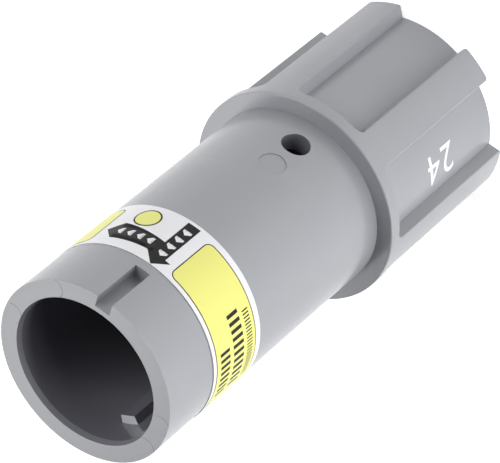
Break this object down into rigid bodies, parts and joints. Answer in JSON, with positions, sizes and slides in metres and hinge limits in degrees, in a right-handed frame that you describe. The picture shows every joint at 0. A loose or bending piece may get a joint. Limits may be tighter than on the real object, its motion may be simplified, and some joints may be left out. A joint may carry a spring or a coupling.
{
  "type": "single-pole latching power connector",
  "caption": "Grey moulded single-pole power connector with an open round mouth, wrap label, latch hole, collar and ribbed grip, and a recessed contact pin inside.",
  "frame": {"origin": "centre of the flat rear face of the ribbed grip", "axes": "+Z along the mating axis towards the mouth; -Y through the keyway and the latch hole"},
  "size_m": [0.0644, 0.0644, 0.151],
  "materials": {
    "shell_plastic": "light grey moulded polyamide, satin",
    "label_foil": "white foil with printed colour fields",
    "silver_plate": "silver-plated copper alloy, satin",
    "insulator_plastic": "black moulded polyamide",
    "seal_rubber": "black moulded rubber",
    "spring_steel": "bright steel",
    "entry_plastic": "dark grey moulded polyamide"
  },
  "bodies": {
    "root": {"housing": "shell_plastic", "wrap_label": "label_foil", "contact_pin": "silver_plate", "pin_tip_guard": "insulator_plastic", "conductor_clamp_screws": "spring_steel", "contact_carrier": "insulator_plastic", "carrier_locating_pin": "spring_steel", "contact_thrust_washer": "spring_steel", "contact_snap_ring": "spring_steel", "contact_seal_ring": "seal_rubber", "carrier_seal_ring": "seal_rubber", "mating_face_seal": "seal_rubber", "clamp_sleeve": "entry_plastic", "cable_grommet": "seal_rubber", "slip_washer": "spring_steel", "clamp_cage": "entry_plastic", "gland_nut": "entry_plastic"}
  },
  "joints": []
}
